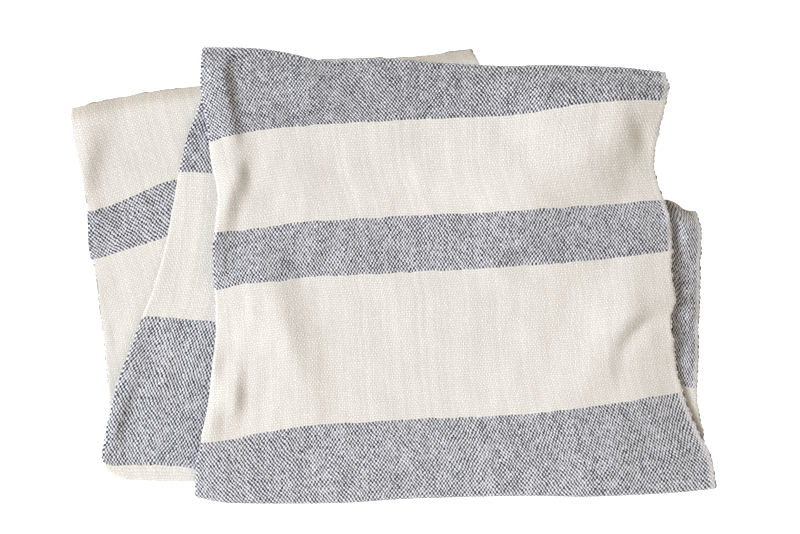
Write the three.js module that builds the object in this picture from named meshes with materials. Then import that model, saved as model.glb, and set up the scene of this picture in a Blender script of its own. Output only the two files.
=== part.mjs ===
// A bath towel of thick handwoven cotton, loosely folded and laid on a flat surface. Millimetres, +Z up.
// It is folded in half along its length, so each panel is two sheets of cloth that join at its left edge
// and end in two selvages at its right edge. The doubled strip is then folded back and forth across, into
// four panels: first (lowest), second, top and tucked. The tucked one lies between the second and the top.
// The origin is on the surface, under the middle of the towel's outline. The lower folds are towards -Y.

import * as THREE from "three";

// The cloth and how loosely it is folded
const CLOTH = 2; // thickness of one sheet
const SHEET_GAP = 0.6; // air between the two sheets of a panel
const PANEL_GAP = 2; // air between one panel and the next
const DRAPE = 48; // distance over which a panel comes down past the edge of what it lies on
const FOLD_FADE = 40; // distance from a fold over which a panel's billows die away
const SELVAGE_STEP = 4; // how far a panel's second sheet stops short of its first at the right edge
const COTTON = 0xdedad4;

const OUTER = CLOTH + SHEET_GAP / 2; // from a panel's middle to its outer faces
const INNER = SHEET_GAP / 2; // from a panel's middle to its inner faces
const PITCH = 2 * OUTER + PANEL_GAP; // from one panel's middle to the next one's
const FOLD_INSET = PITCH / 2 + OUTER; // from a panel's last flat row to the outline of its fold

// How finely the solid is divided
const LEFT_COLUMNS = [0, 0.014, 0.038, 0.068, 0.1, 0.135, 0.175, 0.225, 0.285, 0.35];
const RIGHT_COLUMNS = [0.425, 0.505, 0.585, 0.665, 0.74, 0.81, 0.87, 0.92, 0.962, 1];
const COLUMNS = [...LEFT_COLUMNS, ...RIGHT_COLUMNS];
const FOLD_STEPS = 4; // rows round each cross fold
const EDGE_STEPS = 4; // faces round each left edge

// The cross folds and the two hemmed ends, seen from above: y at each x, from left to right
const LOWER_END = [
  { x: -288, y: 152 },
  { x: -255, y: 160 },
  { x: -223, y: 166 },
  { x: -180, y: 171.5 },
  { x: -122, y: 181 },
  { x: -68, y: 193 },
  { x: -2, y: 196 },
  { x: 36, y: 197 },
  { x: 58, y: 201 },
  { x: 67, y: 203 },
];
const LOWER_FOLD = [
  { x: -259, y: -177 },
  { x: -251, y: -181.5 },
  { x: -243, y: -183 },
  { x: -190, y: -185 },
  { x: -86, y: -188 },
  { x: 31, y: -190 },
  { x: 148, y: -187 },
];
const TOP_FOLD = [
  { x: -175, y: 205.5 },
  { x: -136, y: 205 },
  { x: -115, y: 203 },
  { x: -93, y: 199 },
  { x: -70, y: 191.5 },
  { x: -50, y: 191 },
  { x: -20, y: 193 },
  { x: 9, y: 192 },
  { x: 30, y: 189.5 },
  { x: 100, y: 187 },
  { x: 134, y: 188.5 },
  { x: 198, y: 187 },
  { x: 241, y: 184 },
];
const BOTTOM_FOLD = [
  { x: -180.5, y: -201 },
  { x: -158, y: -205 },
  { x: -120, y: -205.5 },
  { x: -50, y: -205 },
  { x: 4, y: -201 },
  { x: 47, y: -199.5 },
  { x: 123, y: -197.5 },
  { x: 170, y: -198.5 },
  { x: 242, y: -196 },
  { x: 289, y: -193.5 },
];
const UPPER_END = [
  { x: -154, y: 76 },
  { x: 0, y: 75 },
  { x: 150, y: 72 },
  { x: 243, y: 68 },
  { x: 253, y: 64.5 },
  { x: 262, y: 58.5 },
  { x: 271.5, y: 58 },
];

// The side edges of each panel, seen from above: x of its left fold and of its right selvages at each y
const FIRST_SIDES = [
  { y: 203, left: -287, right: 67 },
  { y: 188, left: -287, right: 74 },
  { y: 152, left: -288, right: 81 },
  { y: 141, left: -290, right: 83 },
  { y: 119, left: -287, right: 88 },
  { y: 87, left: -280, right: 94 },
  { y: 55, left: -276, right: 99 },
  { y: 22, left: -275, right: 104 },
  { y: 0, left: -269, right: 108 },
  { y: -32, left: -265, right: 114 },
  { y: -64, left: -262, right: 122 },
  { y: -108, left: -257, right: 133 },
  { y: -135, left: -255, right: 139 },
  { y: -187, left: -259, right: 148 },
];
const SECOND_SIDES = [
  { y: 206, left: -175, right: 245 },
  { y: 184, left: -174, right: 241 },
  { y: 166, left: -175, right: 237 },
  { y: 132, left: -186, right: 230 },
  { y: 100, left: -194, right: 223 },
  { y: 55, left: -201.5, right: 213 },
  { y: 11, left: -210, right: 202 },
  { y: -13, left: -217, right: 196 },
  { y: -34, left: -225, right: 190 },
  { y: -63, left: -236, right: 182 },
  { y: -109, left: -251.5, right: 168 },
  { y: -153, left: -260.5, right: 156 },
  { y: -170, left: -263.5, right: 152 },
  { y: -178, left: -260, right: 149 },
];
const TOP_SIDES = [
  { y: 206, left: -175, right: 240 },
  { y: 184, left: -176, right: 241 },
  { y: 170, left: -175, right: 244.5 },
  { y: 141, left: -170, right: 239 },
  { y: 117, left: -167, right: 233.5 },
  { y: 100, left: -165, right: 233 },
  { y: 83, left: -160.5, right: 236.5 },
  { y: 64, left: -159, right: 243.5 },
  { y: 44, left: -162, right: 249 },
  { y: 26, left: -164, right: 249.5 },
  { y: 5, left: -164, right: 248 },
  { y: -27, left: -161.5, right: 251.5 },
  { y: -39, left: -161.5, right: 248 },
  { y: -63, left: -162, right: 250.5 },
  { y: -90, left: -165, right: 254 },
  { y: -118, left: -168, right: 262.5 },
  { y: -144, left: -173, right: 273 },
  { y: -172, left: -178.5, right: 286.5 },
  { y: -201, left: -180.5, right: 290 },
];
const TUCKED_SIDES = [
  { y: 76, left: -154, right: 270 },
  { y: 53, left: -154, right: 273 },
  { y: 40, left: -155, right: 276.5 },
  { y: 13, left: -156, right: 276 },
  { y: -32, left: -158, right: 275 },
  { y: -86, left: -162, right: 273 },
  { y: -108, left: -165, right: 271.5 },
  { y: -123, left: -168, right: 272.5 },
  { y: -147, left: -172, right: 277 },
  { y: -169, left: -176, right: 283 },
  { y: -201, left: -180.5, right: 289.5 },
];

// Where a panel's cloth stands up in a ridge or lies down in a trough: its line, its half width and its rise
const CREASES = [
  { panel: "top", fromX: -151, fromY: 190, toX: -142, toY: 125, width: 10, rise: -4 },
  { panel: "top", fromX: -166, fromY: 116, toX: -154, toY: 50, width: 11, rise: 3 },
  { panel: "top", fromX: -136, fromY: 100, toX: -145, toY: 52, width: 13, rise: -6 },
  { panel: "top", fromX: -122, fromY: 40, toX: -108, toY: -6, width: 13, rise: -4 },
  { panel: "top", fromX: -108, fromY: -6, toX: -72, toY: -93, width: 15, rise: -4 },
  { panel: "top", fromX: -132, fromY: -10, toX: -112, toY: -80, width: 14, rise: 4 },
  { panel: "top", fromX: -146, fromY: -20, toX: -138, toY: -150, width: 9, rise: -3 },
  { panel: "top", fromX: -59, fromY: 125, toX: -45, toY: 70, width: 22, rise: -2 },
  { panel: "top", fromX: 200, fromY: 145, toX: 212, toY: 95, width: 17, rise: -4 },
  { panel: "top", fromX: 165, fromY: -8, toX: 240, toY: -26, width: 16, rise: 4 },
  { panel: "top", fromX: 240, fromY: -36, toX: 194, toY: -84, width: 12, rise: -5 },
  { panel: "top", fromX: 222, fromY: -66, toX: 246, toY: -84, width: 12, rise: 3 },
  { panel: "top", fromX: 138, fromY: -38, toX: 84, toY: -106, width: 20, rise: 3 },
  { panel: "top", fromX: 90, fromY: 160, toX: 60, toY: 70, width: 34, rise: 2 },
  { panel: "second", fromX: -210, fromY: 40, toX: -238, toY: -55, width: 12, rise: 3 },
  { panel: "second", fromX: -196, fromY: 12, toX: -212, toY: -16, width: 12, rise: -2 },
  { panel: "second", fromX: -201, fromY: -45, toX: -205, toY: -131, width: 10, rise: -2 },
  { panel: "first", fromX: -282, fromY: 136, toX: -262, toY: 40, width: 16, rise: 3 },
  { panel: "first", fromX: -240, fromY: 120, toX: -245, toY: -40, width: 18, rise: 3 },
  { panel: "tucked", fromX: 262, fromY: 12, toX: 268, toY: -12, width: 14, rise: 4 },
  { panel: "tucked", fromX: 258, fromY: -48, toX: 266, toY: -80, width: 14, rise: 3 },
];

// The panels in the order of the cloth, each from its start to its end. facing is 1 where the first sheet,
// which goes from the right selvage to the left fold, lies on top. loft is how high the panel stands off what
// it lies on, and lowerShare is how much of that its lower sheet follows.
const PANELS = {
  first: {
    sides: FIRST_SIDES,
    start: { line: LOWER_END, inset: 0 },
    end: { line: LOWER_FOLD, inset: FOLD_INSET },
    facing: 1,
    liesOn: [],
    loft: 0,
    lowerShare: 0,
    rows: 11,
  },
  second: {
    sides: SECOND_SIDES,
    start: { line: LOWER_FOLD, inset: FOLD_INSET },
    end: { line: TOP_FOLD, inset: -FOLD_INSET },
    facing: -1,
    liesOn: ["first"],
    loft: 1,
    lowerShare: 0.5,
    rows: 13,
  },
  top: {
    sides: TOP_SIDES,
    start: { line: TOP_FOLD, inset: -FOLD_INSET },
    end: { line: BOTTOM_FOLD, inset: FOLD_INSET },
    facing: 1,
    liesOn: ["first", "second", "tucked"],
    loft: 3,
    lowerShare: 0.5,
    rows: 20,
  },
  tucked: {
    sides: TUCKED_SIDES,
    start: { line: BOTTOM_FOLD, inset: FOLD_INSET },
    end: { line: UPPER_END, inset: 0 },
    facing: -1,
    liesOn: ["first", "second"],
    loft: 0.5,
    lowerShare: 0.5,
    rows: 10,
  },
};

// The cross folds between them. outward is the way the fold points along Y, wraps is 1 where the first sheet
// goes round outside the second one, and climbs says whether the cloth goes on to a higher panel.
const FOLDS = [
  { from: "first", to: "second", outward: -1, wraps: -1, climbs: true },
  { from: "second", to: "top", outward: 1, wraps: 1, climbs: true },
  { from: "top", to: "tucked", outward: -1, wraps: 1, climbs: false },
];

const UP = new THREE.Vector3(0, 0, 1);
const LEFTWARD = new THREE.Vector3(-1, 0, 0);

// A column of a table at a place between its rows, on a smooth curve through them.
function readTable(table, place, column, at) {
  const rows = [...table].sort((a, b) => a[place] - b[place]);
  const last = rows.length - 1;
  const x = THREE.MathUtils.clamp(at, rows[0][place], rows[last][place]);
  let k = 0;
  while (k < last - 1 && rows[k + 1][place] < x) k += 1;
  const slope = (a, b) => (rows[b][column] - rows[a][column]) / (rows[b][place] - rows[a][place]);
  const slopeHere = slope(Math.max(k - 1, 0), k + 1);
  const slopeNext = slope(k, Math.min(k + 2, last));
  const span = rows[k + 1][place] - rows[k][place];
  const t = (x - rows[k][place]) / span;
  const rise = t * t * (3 - 2 * t);
  return (
    rows[k][column] * (1 - rise) +
    rows[k + 1][column] * rise +
    span * slopeHere * t * (1 - t) * (1 - t) -
    span * slopeNext * t * t * (1 - t)
  );
}

// A point of a cross fold's or end's outline, at a share of the panel's width.
function acrossPoint(line, share) {
  const x = THREE.MathUtils.lerp(line[0].x, line[line.length - 1].x, share);
  return new THREE.Vector2(x, readTable(line, "x", "y", x));
}

// A point of a side edge's outline, at a share of the panel's length from its start.
function sidePoint(panel, side, share) {
  const end = side === "left" ? 0 : 1;
  const from = acrossPoint(panel.start.line, end);
  const to = acrossPoint(panel.end.line, end);
  const y = THREE.MathUtils.lerp(from.y, to.y, share);
  const startError = from.x - readTable(panel.sides, "y", side, from.y);
  const endError = to.x - readTable(panel.sides, "y", side, to.y);
  const x = readTable(panel.sides, "y", side, y) + THREE.MathUtils.lerp(startError, endError, share);
  return new THREE.Vector2(x, y);
}

// A point of a panel seen from above, blended from its four edges.
function planPoint(panel, across, along) {
  const left = sidePoint(panel, "left", along);
  const right = sidePoint(panel, "right", along);
  const start = acrossPoint(panel.start.line, across);
  const end = acrossPoint(panel.end.line, across);
  const cornersStart = acrossPoint(panel.start.line, 0).lerp(acrossPoint(panel.start.line, 1), across);
  const cornersEnd = acrossPoint(panel.end.line, 0).lerp(acrossPoint(panel.end.line, 1), across);
  const corners = cornersStart.lerp(cornersEnd, along);
  const point = left.lerp(right, across).add(start.lerp(end, along)).sub(corners);
  point.x += OUTER * (1 - across);
  point.y += THREE.MathUtils.lerp(panel.start.inset, panel.end.inset, along);
  return point;
}

// A panel's whole outline seen from above.
function outlineOf(panel) {
  const steps = 24;
  const shares = Array.from({ length: steps }, (_, k) => k / steps);
  return [
    ...shares.map((share) => acrossPoint(panel.start.line, share)),
    ...shares.map((share) => sidePoint(panel, "right", share)),
    ...shares.map((share) => acrossPoint(panel.end.line, 1 - share)),
    ...shares.map((share) => sidePoint(panel, "left", 1 - share)),
  ];
}

function distanceToLine(point, from, to) {
  const line = to.clone().sub(from);
  const share = THREE.MathUtils.clamp(point.clone().sub(from).dot(line) / line.lengthSq(), 0, 1);
  return point.distanceTo(from.clone().addScaledVector(line, share));
}

// 1 over a panel, and down to 0 a drape's length outside its outline.
function cover(panel, point) {
  let inside = false;
  let distance = Infinity;
  panel.outline.forEach((from, k) => {
    const to = panel.outline[(k + 1) % panel.outline.length];
    const crosses = from.y > point.y !== to.y > point.y;
    const crossing = from.x + ((to.x - from.x) * (point.y - from.y)) / (to.y - from.y);
    if (crosses && point.x < crossing) inside = !inside;
    distance = Math.min(distance, distanceToLine(point, from, to));
  });
  return inside ? 1 : 1 - THREE.MathUtils.smoothstep(distance, 0, DRAPE);
}

// How far a panel stands off what it lies on.
function billow(name, point) {
  const panel = PANELS[name];
  const creases = CREASES.filter((crease) => crease.panel === name);
  const rise = creases.reduce((sum, crease) => {
    const from = new THREE.Vector2(crease.fromX, crease.fromY);
    const to = new THREE.Vector2(crease.toX, crease.toY);
    const reach = 2 * crease.width;
    const near = Math.max(0, 1 - (distanceToLine(point, from, to) / reach) ** 2);
    return sum + crease.rise * near ** 3;
  }, panel.loft);
  const ends = [panel.start, panel.end].filter((end) => end.inset !== 0);
  const toFold = Math.min(...ends.map((end) => Math.abs(point.y - readTable(end.line, "x", "y", point.x))));
  return Math.max(0, rise) * THREE.MathUtils.smoothstep(toFold, FOLD_INSET, FOLD_INSET + FOLD_FADE);
}

// The height of what lies under a panel, and of the panel's own middle before its billows.
function restHeight(panel, point) {
  const raised = (name) => PITCH * cover(PANELS[name], point) + billow(name, point);
  return OUTER + panel.liesOn.reduce((sum, name) => sum + raised(name), 0);
}

// One row of a panel: for each column the middle of the panel, the way to the first sheet, and the two billows.
function panelRow(name, along) {
  const panel = PANELS[name];
  return COLUMNS.map((across) => {
    const point = planPoint(panel, across, along);
    const upper = billow(name, point);
    const lower = upper * panel.lowerShare;
    return {
      middle: new THREE.Vector3(point.x, point.y, restHeight(panel, point)),
      toFirst: UP.clone().multiplyScalar(panel.facing),
      firstRise: panel.facing > 0 ? upper : lower,
      secondRise: panel.facing > 0 ? lower : upper,
    };
  });
}

// One row of a cross fold, at an angle of 0 on the upper panel to half a turn on the lower one.
function foldRow(fold, angle) {
  const before = panelRow(fold.from, 1);
  const after = panelRow(fold.to, 0);
  const outward = new THREE.Vector3(0, fold.outward, 0);
  return before.map((point, k) => {
    const radius = Math.abs(point.middle.z - after[k].middle.z) / 2;
    const height = (point.middle.z + after[k].middle.z) / 2;
    const radial = UP.clone().multiplyScalar(Math.cos(angle)).addScaledVector(outward, Math.sin(angle));
    const middle = new THREE.Vector3(point.middle.x, point.middle.y, height).addScaledVector(radial, radius);
    return { middle, toFirst: radial.multiplyScalar(fold.wraps), firstRise: 0, secondRise: 0 };
  });
}

// All rows of the doubled strip, from the lower hem to the upper one.
function stripRows() {
  const rows = [];
  Object.entries(PANELS).forEach(([name, panel], k) => {
    for (let row = 0; row <= panel.rows; row += 1) rows.push(panelRow(name, row / panel.rows));
    const fold = FOLDS[k];
    if (!fold) return;
    for (let step = 1; step < FOLD_STEPS; step += 1) {
      const turn = (Math.PI * step) / FOLD_STEPS;
      rows.push(foldRow(fold, fold.climbs ? Math.PI - turn : turn));
    }
  });
  return rows;
}

// The section of the strip at one row, at one distance from its middle: the first sheet from its selvage to
// the left fold, round the fold, and back along the second sheet.
function section(row, distance) {
  const sheet = (point, way, rise) =>
    point.middle.clone().addScaledVector(point.toFirst, way * distance).addScaledVector(UP, rise);
  const first = [...row].reverse().map((point) => sheet(point, 1, point.firstRise));
  const second = row.map((point) => sheet(point, -1, point.secondRise));
  const [beforeLast, last] = second.slice(-2);
  last.addScaledVector(beforeLast.clone().sub(last).normalize(), SELVAGE_STEP);
  const { middle, toFirst, firstRise, secondRise } = row[0];
  const round = [];
  for (let step = 1; step < EDGE_STEPS; step += 1) {
    const angle = (Math.PI * step) / EDGE_STEPS;
    const share = (1 - Math.cos(angle)) / 2;
    const point = middle.clone().addScaledVector(toFirst, distance * Math.cos(angle));
    point.addScaledVector(LEFTWARD, distance * Math.sin(angle));
    round.push(point.addScaledVector(UP, THREE.MathUtils.lerp(firstRise, secondRise, share)));
  }
  return [...first, ...round, ...second];
}

// The closed solid between the strip's outer and inner faces, with its two selvages and two hems.
function towelGeometry() {
  const rows = stripRows();
  const outer = rows.map((row) => section(row, OUTER));
  const inner = rows.map((row) => section(row, INNER));
  const high = rows.length;
  const wide = outer[0].length;
  const positions = [...outer.flat(), ...inner.flat()].flatMap((point) => point.toArray());
  const outerAt = (row, k) => row * wide + k;
  const innerAt = (row, k) => high * wide + row * wide + k;
  const indices = [];
  const quad = (a, b, c, d) => indices.push(a, b, c, a, c, d);
  // Both sheets are cut into triangles the same way as seen from above, so that neither leans into the other.
  const quadOf = (corners, turned) => quad(...(turned ? [...corners.slice(1), corners[0]] : corners));
  for (let row = 0; row < high - 1; row += 1) {
    for (let k = 0; k < wide - 1; k += 1) {
      const isSecond = k >= COLUMNS.length;
      quadOf([outerAt(row, k), outerAt(row, k + 1), outerAt(row + 1, k + 1), outerAt(row + 1, k)], isSecond);
      quadOf([innerAt(row, k), innerAt(row + 1, k), innerAt(row + 1, k + 1), innerAt(row, k + 1)], isSecond);
    }
    quad(outerAt(row, 0), outerAt(row + 1, 0), innerAt(row + 1, 0), innerAt(row, 0));
    const end = wide - 1;
    quad(outerAt(row, end), innerAt(row, end), innerAt(row + 1, end), outerAt(row + 1, end));
  }
  for (let k = 0; k < wide - 1; k += 1) {
    const last = high - 1;
    quad(outerAt(0, k), innerAt(0, k), innerAt(0, k + 1), outerAt(0, k + 1));
    quad(outerAt(last, k), outerAt(last, k + 1), innerAt(last, k + 1), innerAt(last, k));
  }
  const geometry = new THREE.BufferGeometry();
  geometry.setAttribute("position", new THREE.Float32BufferAttribute(positions, 3));
  geometry.setIndex(indices);
  geometry.computeVertexNormals();
  return geometry;
}

Object.values(PANELS).forEach((panel) => {
  panel.outline = outlineOf(panel);
});

const towel = new THREE.Mesh(
  towelGeometry(),
  new THREE.MeshStandardMaterial({ color: COTTON, roughness: 0.95, metalness: 0 }),
);
towel.name = "towel";

const bathTowel = new THREE.Group();
bathTowel.add(towel);

export default bathTowel;
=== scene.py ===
"""A handwoven bath towel, folded and lying on a pale floor, seen from straight above.

The towel is one sheet of cloth. It is folded in half along its length, which makes a doubled strip with a
folded left edge and two selvages on the right, and the strip is folded back and forth across into four
panels. Tables are in millimetres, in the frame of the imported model, and MM turns them into metres.
"""

from math import pi

import bpy
import numpy as np
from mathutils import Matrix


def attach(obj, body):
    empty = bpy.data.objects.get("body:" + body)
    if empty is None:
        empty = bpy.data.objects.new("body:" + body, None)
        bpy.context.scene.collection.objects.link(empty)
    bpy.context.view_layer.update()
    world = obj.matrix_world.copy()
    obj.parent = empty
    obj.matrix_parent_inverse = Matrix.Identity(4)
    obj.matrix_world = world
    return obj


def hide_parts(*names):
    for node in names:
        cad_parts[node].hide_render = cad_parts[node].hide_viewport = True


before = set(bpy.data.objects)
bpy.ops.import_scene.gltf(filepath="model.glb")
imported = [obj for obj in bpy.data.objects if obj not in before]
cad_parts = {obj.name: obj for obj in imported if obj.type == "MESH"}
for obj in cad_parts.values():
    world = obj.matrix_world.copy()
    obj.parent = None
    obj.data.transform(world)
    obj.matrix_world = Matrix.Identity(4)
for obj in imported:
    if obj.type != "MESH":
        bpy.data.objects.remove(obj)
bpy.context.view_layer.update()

MM = 0.001

# The cloth and its folds
CLOTH = 2.0  # thickness of one sheet
SHEET_GAP = 0.6  # air between the two sheets of a panel
PANEL_GAP = 2.0  # air between one panel and the next
DRAPE = 80.0  # distance over which a panel comes down past the edge of what it lies on
FOLD_FADE = 12.0  # distance from a cross fold over which a panel's billows die away
LEFT_ROLL = 12.0  # distance over which a panel's upper sheet rolls down to its left fold
RIGHT_ROLL = 40.0  # the same for the right edge
LEFT_SHARE = 0.9  # share of a panel's loft that is left at its left fold
RIGHT_SHARE = 0.3  # the same for the right edge
SAG = 1.5  # how much closer the top panel lies along its right edge
SHEET_MIDDLE = (CLOTH + SHEET_GAP) / 2  # from a panel's middle to the middle of either sheet
OUTER = SHEET_MIDDLE + CLOTH / 2  # from a panel's middle to its outer faces
PITCH = 2 * OUTER + PANEL_GAP  # from one panel's middle to the next one's
FOLD_INSET = PITCH / 2 + OUTER  # from a panel's last flat row to the outline of its fold
FOLD_ARC = pi * (PITCH / 2 + SHEET_MIDDLE)  # cloth that goes round a cross fold, outside
EDGE_ARC = pi * SHEET_MIDDLE  # cloth that goes round a left edge
UNEVENNESS = 0.16  # height of the small uneven places all over
UNEVEN_WAVES = (16, 70)  # their shortest and longest wave
FRAY = 0.5  # how far the selvages and the hemmed ends wander
FRAY_WAVES = (5, 26)  # the shortest and longest wave of that
FOLD_WANDER = 0.6  # how much of it the left fold has
NEAR_SIDE = 40  # power that keeps the wandering close to a side edge
NEAR_HEM = 90.0  # how fast it dies away from a hemmed end
SIDE_SEED = 11
HEM_SEED = 12
LOOP_SEED = 5
FLAT_WIDTH = 800.0
FLAT_LENGTH = 1400.0
STRIP_WIDTH = 420.0  # about how wide the doubled strip is
FIRST_LONG = 350.0  # about how long the first panel is
TUCKED_LONG = 270.0  # about how long the tucked panel is

# The weave
WARP_PITCH = 1.54  # from one lengthwise thread to the next
WEFT_PITCH = 2.12  # from one crosswise thread to the next

WARP_STRAY = 3.0  # how many threads the lengthwise ones stray, from one side to the other
WEFT_STRAY = 1.9  # the same for the crosswise ones
KNOBBLE = 0.7  # the same for the uneven thickness of both

# How finely the cloth is divided
COLUMNS = 94
FOLD_STEPS = 9
EDGE_STEPS = 7
OUTLINE_POINTS = 24  # points along each edge of a panel's outline
CLOSER = (2.6, 1.2)  # how many times more columns there are near the left fold and near the selvages
CLOSER_OVER = (0.17, 0.1)  # over which share of the width
SPACING_SAMPLES = 2001

# The loops of weft yarn along the selvages
LOOP_STEPS = 5
LOOP_SIDES = 5
YARN = 0.45  # radius of the yarn
LOOP_HALF = 0.9  # half of a loop's length along the selvage, in weft pitches
LOOP_BULGE = (0.5, 1.3)  # how far the flattest and the fullest loop stand out
LOOP_ROOT = 0.4  # how far inside the selvage a loop starts


def table(columns, *rows):
    """A short table, as one array for each named column."""
    return {name: np.array(values, float) for name, values in zip(columns.split(), zip(*rows))}


def read(rows, place, column, at):
    """A column at any place between the rows, on a smooth curve. Past the ends it stays level."""
    order = np.argsort(rows[place])
    x, y = rows[place][order], rows[column][order]
    inner = (y[2:] - y[:-2]) / (x[2:] - x[:-2])
    slope = np.concatenate([[(y[1] - y[0]) / (x[1] - x[0])], inner, [(y[-1] - y[-2]) / (x[-1] - x[-2])]])
    at = np.clip(at, x[0], x[-1])
    k = np.clip(np.searchsorted(x, at) - 1, 0, len(x) - 2)
    span = x[k + 1] - x[k]
    t = (at - x[k]) / span
    rise = t * t * (3 - 2 * t)
    bend = span * t * (1 - t) * (slope[k] * (1 - t) - slope[k + 1] * t)
    return y[k] * (1 - rise) + y[k + 1] * rise + bend


def lerp(a, b, share):
    """The value at a share of the way from a to b."""
    return a + (b - a) * share


def smoothstep(value, low, high):
    """0 up to low, 1 from high on, and a smooth rise between them."""
    t = np.clip((value - low) / (high - low), 0, 1)
    return t * t * (3 - 2 * t)


# Cross folds and hemmed ends seen from above, from left to right
LOWER_END = table(
    "x y",
    (-294, 151.5), (-258, 160), (-225, 166), (-180, 171.5), (-122, 181),
    (-68, 195), (-2, 197), (18, 198), (40, 201), (58, 203.5), (68, 205),
)
LOWER_FOLD = table(
    "x y",
    (-263, -180), (-254, -184.5), (-245, -186.5), (-190, -188), (-86, -190), (31, -191), (148, -188),
)
TOP_FOLD = table(
    "x y",
    (-175, 205.5), (-136, 205), (-115, 203), (-93, 199), (-70, 193.5), (-50, 193.5), (-20, 195),
    (9, 194), (30, 191.5), (100, 188.5), (134, 189.5), (198, 188), (244.5, 184.5),
)
BOTTOM_FOLD = table(
    "x y",
    (-180.5, -201), (-158, -205.5), (-120, -206.5), (-50, -206), (4, -202.5),
    (47, -201), (123, -199.5), (170, -200.5), (242, -198.5), (289, -195.5),
)
UPPER_END = table(
    "x y", (-154, 76), (0, 75), (150, 72), (243, 68), (253, 64.5), (262, 58.5), (271.5, 58)
)

# Side edges of each panel seen from above: where its left fold and its right selvages are at each y
FIRST_SIDES = table(
    "y left right",
    (205, -293, 68), (188, -293, 76), (152, -294, 81), (141, -295, 83), (119, -292, 88),
    (87, -285, 94), (55, -280, 99), (22, -279, 104), (0, -273, 108), (-32, -269, 114),
    (-64, -265, 122), (-108, -261, 133), (-135, -259, 139), (-187, -263, 148),
)
SECOND_SIDES = table(
    "y left right",
    (206, -175, 245), (184, -174, 243.5), (166, -175, 238), (132, -187, 230), (100, -195, 223),
    (55, -203, 213), (11, -212, 202), (-13, -219, 196), (-34, -227, 190), (-63, -238, 182),
    (-109, -254, 168), (-153, -263.5, 156), (-170, -266.5, 152), (-178, -263, 149),
)
TOP_SIDES = table(
    "y left right",
    (206, -175, 244), (184, -176, 244.5), (170, -175, 244.5), (141, -170, 239), (117, -167, 233.5),
    (100, -165, 233), (83, -160.5, 236.5), (64, -159, 243.5), (44, -162, 249), (26, -164, 249.5),
    (5, -164, 248), (-27, -161.5, 251.5), (-39, -161.5, 248), (-63, -162, 250.5), (-90, -165, 254),
    (-118, -168, 262.5), (-144, -173, 273), (-172, -178.5, 286.5), (-201, -180.5, 290),
)
TUCKED_SIDES = table(
    "y left right",
    (76, -154, 270), (53, -154, 276), (40, -155, 280), (13, -156, 278.5), (-32, -158, 277),
    (-86, -162, 275), (-108, -165, 273.5), (-123, -168, 274.5), (-147, -172, 278.5),
    (-169, -176, 283), (-201, -180.5, 289.5),
)

# Crosswise threads to follow over each panel: where they lie, and how far along the flat cloth they are
TOP_TURN = table("x length", (-175, 730), (-100, 749), (0, 764), (100, 778), (200, 791), (241, 796))
BOTTOM_TURN = table(
    "x length",
    (-176, 1124), (-100, 1138.5), (0, 1143), (100, 1143.5), (200, 1152), (274, 1160.5), (289, 1162),
)
FIRST_THREADS = (
    (86, table("x y", (-273, 58), (-244, 69), (-215, 83), (-197, 87), (0, 118), (100, 128))),
    (134, table("x y", (-273, 13), (-244, 22), (-216, 31), (-205, 35.5), (0, 70), (100, 82))),
)
SECOND_THREADS = (
    (354, table(
        "x y", (-256, -173), (-237, -171.5), (-215, -171.5), (-194, -173), (-179, -176.5), (148, -178),
    )),
    (479, table("x y", (-226, -38.5), (-201, -39), (-180, -41), (-162, -43.5), (150, -60))),
    (607, table("x y", (-195, 93.5), (-166, 92), (0, 60), (200, 20))),
)
TOP_THREADS = (
    (819, table(
        "x y", (-166, 118), (-151, 123), (-122, 129), (-64, 134.5), (-8, 137.5), (51, 140),
        (108, 142.5), (172, 152.5), (216, 155.5), (240, 156),
    )),
    (898, table(
        "x y", (-162, 39), (-144, 40), (-116, 43), (-95, 47), (-59, 49.5), (12, 53.5), (92, 57), (178, 63),
        (207, 65), (243, 68.5),
    )),
    (947.5, table(
        "x y", (-162, -14), (-144, -10), (-130, -7.5), (-101, -5), (-79, -2), (4, 2), (94, 6.5),
        (177, 13), (245, 21),
    )),
    (1078, table(
        "x y", (-171, -151), (-151, -149.5), (-122, -143.5), (-79, -136.5), (-22, -133), (31, -130),
        (74, -128.5), (117, -125.5), (160, -121.5), (203, -116), (232, -111), (258, -107.5),
    )),
)
TUCKED_THREADS = (
    (1206, table("x y", (-176, -130), (275, -145))),
    (1246, table("x y", (-176, -91), (260, -102), (272, -104))),
)


def crease(*line, west, east, rise, ends=(0.25, 0.1)):
    """A soft ridge along a line of points, or a trough where its rise is negative.

    West and east are its half widths on the right and on the left of someone walking along the line, which is
    west and east where it runs down the picture. So one side can be steep. Ends are the shares of the rise
    that are left at its two ends."""
    line = np.array(line, float)
    for _ in range(2):
        quarter, most = lerp(line[:-1], line[1:], 0.25), lerp(line[:-1], line[1:], 0.75)
        inner = np.stack([quarter, most], 1).reshape(-1, 2)
        line = np.concatenate([line[:1], inner[1:-1], line[-1:]])
    return dict(line=line, west=west, east=east, rise=rise, ends=ends)


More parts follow.
